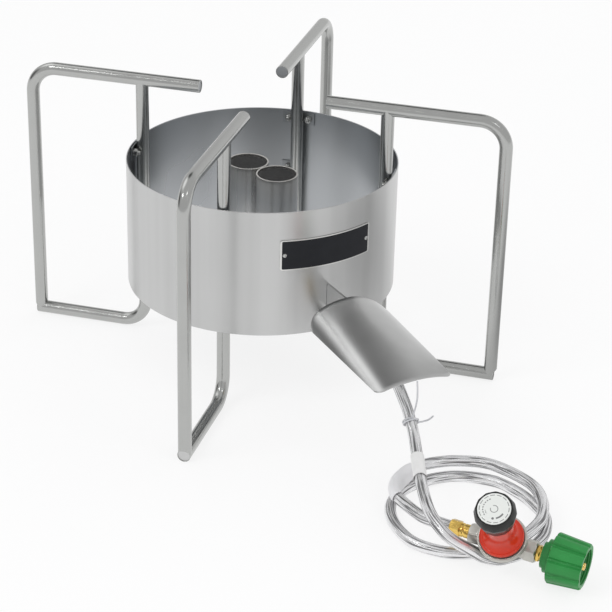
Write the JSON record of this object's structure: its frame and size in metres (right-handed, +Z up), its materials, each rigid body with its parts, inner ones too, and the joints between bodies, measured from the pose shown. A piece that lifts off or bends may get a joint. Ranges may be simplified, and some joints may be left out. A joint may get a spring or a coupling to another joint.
{
  "type": "turkey fryer kit",
  "caption": "Outdoor gas burner stand on bent tube legs with wind shroud, heat shield, twin burner, coiled braided hose and adjustable regulator with a hand coupling nut",
  "frame": {"origin": "on the wind shroud's axis, at the level of the feet", "axes": "+Z up; the front leg is along -Y and the right leg along +X; the gas supply leaves midway between them"},
  "size_m": [0.7847, 0.7687, 0.3461],
  "materials": {
    "polished_stainless": "polished",
    "brushed_sheet": "brushed",
    "burner_steel": "brushed, heat darkened",
    "cast_zinc": "cast",
    "brass": "machined",
    "hose_braid": "rubber hose under a woven steel braid",
    "white_film": "matte",
    "black_plastic": "moulded",
    "red_enamel": "gloss",
    "green_nylon": "moulded"
  },
  "bodies": {
    "stand": {"wind_shroud": "brushed_sheet", "leg_front_upper_tube": "polished_stainless", "leg_front_lower_tube": "polished_stainless", "leg_front_upper_strap": "brushed_sheet", "leg_front_lower_strap": "brushed_sheet", "leg_front_upper_nut_a": "polished_stainless", "leg_front_upper_nut_b": "polished_stainless", "leg_front_lower_nut": "polished_stainless", "leg_right_upper_tube": "polished_stainless", "leg_right_lower_tube": "polished_stainless", "leg_right_upper_strap": "brushed_sheet", "leg_right_lower_strap": "brushed_sheet", "leg_right_upper_nut_a": "polished_stainless", "leg_right_upper_nut_b": "polished_stainless", "leg_right_lower_nut": "polished_stainless", "leg_back_upper_tube": "polished_stainless", "leg_back_lower_tube": "polished_stainless", "leg_back_upper_strap": "brushed_sheet", "leg_back_lower_strap": "brushed_sheet", "leg_back_upper_nut_a": "polished_stainless", "leg_back_upper_nut_b": "polished_stainless", "leg_back_lower_nut": "polished_stainless", "leg_left_upper_tube": "polished_stainless", "leg_left_lower_tube": "polished_stainless", "leg_left_upper_strap": "brushed_sheet", "leg_left_lower_strap": "brushed_sheet", "leg_left_upper_nut_a": "polished_stainless", "leg_left_upper_nut_b": "polished_stainless", "leg_left_lower_nut": "polished_stainless", "nameplate": "black_plastic", "burner_bracket": "brushed_sheet", "heat_shield": "brushed_sheet", "burner_tube_left": "burner_steel", "burner_tube_right": "burner_steel", "flame_screen_left": "burner_steel", "flame_screen_right": "burner_steel", "gas_jet_left": "brass", "gas_jet_right": "brass", "gas_manifold": "cast_zinc", "supply_pipe": "polished_stainless", "flare_adapter": "brass", "hose_swivel_nut": "brass", "hose_crimp": "polished_stainless", "hose_lead": "hose_braid", "hose_coil": "hose_braid", "hose_tag_collar": "white_film", "hose_tag_sleeve": "white_film", "hose_tie": "white_film", "hose_ferrule": "brass", "regulator_body": "cast_zinc", "diaphragm": "black_plastic", "regulator_bonnet": "red_enamel", "adjusting_spring": "polished_stainless", "inlet_nipple": "brass"},
    "spring_button": {"spring_button": "polished_stainless"},
    "knob": {"regulator_knob": "black_plastic", "knob_dial": "white_film", "adjusting_screw": "polished_stainless"},
    "coupling_nut": {"coupling_nut": "green_nylon"}
  },
  "joints": [
    {"name": "button_slide", "type": "slide", "parent": "stand", "child": "spring_button", "axis": [0.055, 0.5749, -0.8164], "range_m": [0, 0.006], "deforming": ["adjusting_spring"]},
    {"name": "knob_turn", "type": "hinge", "parent": "spring_button", "child": "knob", "pos_m": [0.38315, -0.43874, 0.0874], "axis": [0.055, 0.5749, -0.8164], "range_deg": [0, 1440]},
    {"name": "coupling_spin", "type": "hinge", "parent": "stand", "child": "coupling_nut", "pos_m": [0.45607, -0.40944, 0.0272], "axis": [0.9867, -0.1563, -0.0436], "continuous": true}
  ],
  "couplings": [
    {"joint": "knob_turn", "follows": "button_slide", "rad_per_m": 4188.8}
  ]
}
